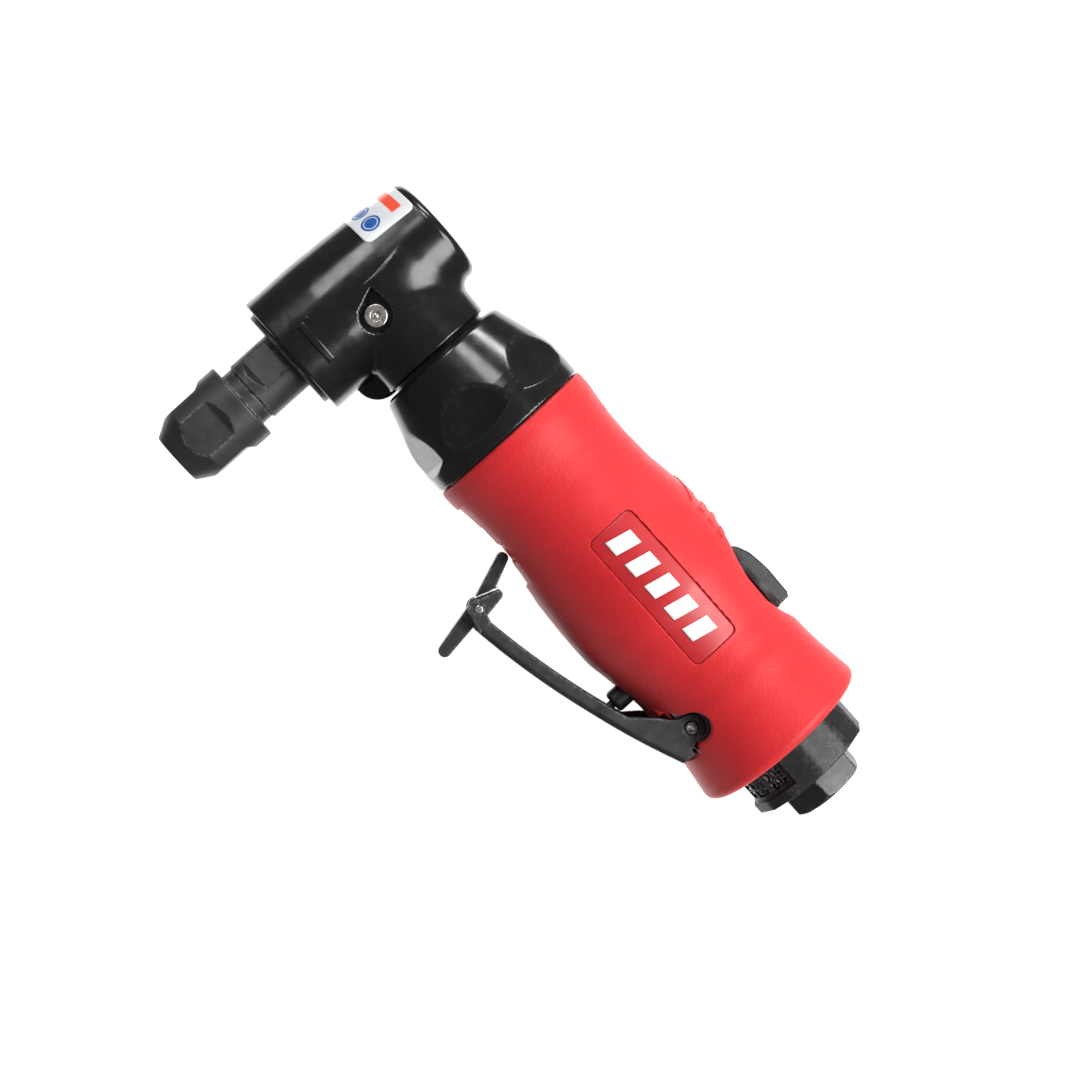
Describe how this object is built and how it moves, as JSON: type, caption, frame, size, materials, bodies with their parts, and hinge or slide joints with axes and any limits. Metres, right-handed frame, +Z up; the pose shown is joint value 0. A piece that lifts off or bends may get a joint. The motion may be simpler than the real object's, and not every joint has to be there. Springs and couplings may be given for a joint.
{
  "type": "right-angle air die grinder",
  "caption": "Compact right-angle pneumatic die grinder with a collet spindle, red grip sleeve, lock-off throttle lever, regulator knob and rotating exhaust deflector.",
  "frame": {"origin": "centre of the collet's mouth, on the spindle axis, at the front face of the collet nut", "axes": "+X along the handle from the spindle towards the air inlet; +Y along the spindle from the collet towards the closed end of the head; +Z up, with the tool lying on its side"},
  "size_m": [0.1664, 0.0805, 0.0428],
  "materials": {
    "black_paint": "gloss black paint over cast aluminium",
    "black_oxide": "black oxide steel, satin",
    "bearing_steel": "ground bearing steel",
    "machined_steel": "machined steel",
    "spring_steel": "bright spring wire",
    "fitting_nickel": "nickel plate, satin",
    "label_vinyl": "white printed vinyl",
    "aluminium_cast": "machined aluminium",
    "red_grip": "fine-grained red composite",
    "plate_red": "smooth darker red",
    "plate_white": "raised white print",
    "brass": "turned brass",
    "seal_rubber": "black nitrile rubber",
    "felt": "grey felt",
    "screen_steel": "woven steel screen",
    "blade_composite": "phenolic laminate",
    "black_plastic": "grained black nylon"
  },
  "bodies": {
    "tool_body": {"angle_head": "black_paint", "bearing_cap": "black_oxide", "spindle_seal": "felt", "lower_bearing_outer": "bearing_steel", "upper_bearing_outer": "bearing_steel", "pinion_bearing_outer": "bearing_steel", "pinion_bearing_nut": "machined_steel", "grease_fitting": "fitting_nickel", "neck_plug": "black_oxide", "head_label": "label_vinyl", "coupling_nut": "black_paint", "nut_retainer": "machined_steel", "motor_housing": "aluminium_cast", "motor_clamp_ring": "machined_steel", "front_end_plate": "machined_steel", "front_bearing_outer": "bearing_steel", "motor_cylinder": "machined_steel", "dowel_pin": "bearing_steel", "rear_end_plate": "machined_steel", "rear_bearing_outer": "bearing_steel", "grip_sleeve": "red_grip", "nameplate": "plate_red", "nameplate_bars": "plate_white", "lever_pin": "black_oxide", "valve_bushing": "brass", "valve_spring": "spring_steel", "regulator_retainer": "machined_steel", "muffler_felt": "felt", "muffler_screen": "screen_steel", "inlet_bushing": "black_oxide", "inlet_screen": "screen_steel", "inlet_seal": "seal_rubber"},
    "spindle_assembly": {"spindle": "black_oxide", "spindle_gear": "machined_steel", "lower_bearing_inner": "bearing_steel", "upper_bearing_inner": "bearing_steel", "collet": "machined_steel"},
    "nut": {"collet_nut": "black_oxide"},
    "rotor_assembly": {"pinion": "machined_steel", "pinion_bearing_inner": "bearing_steel", "rotor": "machined_steel", "rotor_blades": "blade_composite", "front_bearing_inner": "bearing_steel", "rear_bearing_inner": "bearing_steel"},
    "lever": {"throttle_lever": "black_oxide", "latch_pin": "fitting_nickel", "latch_spring": "spring_steel"},
    "latch": {"lock_latch": "black_oxide"},
    "valve": {"valve_stem": "black_plastic", "valve_seal": "seal_rubber"},
    "regulator": {"regulator_knob": "black_plastic", "regulator_spool": "brass", "regulator_seal": "seal_rubber", "knob_screw": "machined_steel"},
    "deflector": {"exhaust_deflector": "black_plastic"}
  },
  "joints": [
    {"name": "rotor_spin", "type": "hinge", "parent": "tool_body", "child": "rotor_assembly", "pos_m": [0.07, 0.0581, 0], "axis": [1, 0, 0], "continuous": true},
    {"name": "spindle_spin", "type": "hinge", "parent": "tool_body", "child": "spindle_assembly", "pos_m": [0, 0.04, 0], "axis": [0, -1, 0], "continuous": true},
    {"name": "collet_nut_turn", "type": "hinge", "parent": "spindle_assembly", "child": "nut", "pos_m": [0, 0.01, 0], "axis": [0, 1, 0], "range_deg": [0, 180]},
    {"name": "lever_press", "type": "hinge", "parent": "tool_body", "child": "lever", "pos_m": [0.1186, 0.044, 0], "axis": [0, 0, -1], "range_deg": [0, 6.5], "stiffness_Nm_per_rad": 1.2, "springref_deg": -6.88},
    {"name": "latch_fold", "type": "hinge", "parent": "lever", "child": "latch", "pos_m": [0.0684, 0.0269, 0], "axis": [0, 0, 1], "range_deg": [0, 72], "deforming": ["latch_spring"]},
    {"name": "valve_push", "type": "slide", "parent": "tool_body", "child": "valve", "axis": [0, 1, 0], "range_m": [0, 0.00165], "deforming": ["valve_spring"]},
    {"name": "regulator_turn", "type": "hinge", "parent": "tool_body", "child": "regulator", "pos_m": [0.1043, 0.0581, 0], "axis": [0, 1, 0], "range_deg": [-90, 90]},
    {"name": "deflector_turn", "type": "hinge", "parent": "tool_body", "child": "deflector", "pos_m": [0.14, 0.0581, 0], "axis": [1, 0, 0], "continuous": true}
  ],
  "couplings": [
    {"joint": "spindle_spin", "follows": "rotor_spin", "ratio": 1},
    {"joint": "latch_fold", "follows": "lever_press", "ratio": 11},
    {"joint": "valve_push", "follows": "lever_press", "m_per_rad": 0.0145}
  ]
}
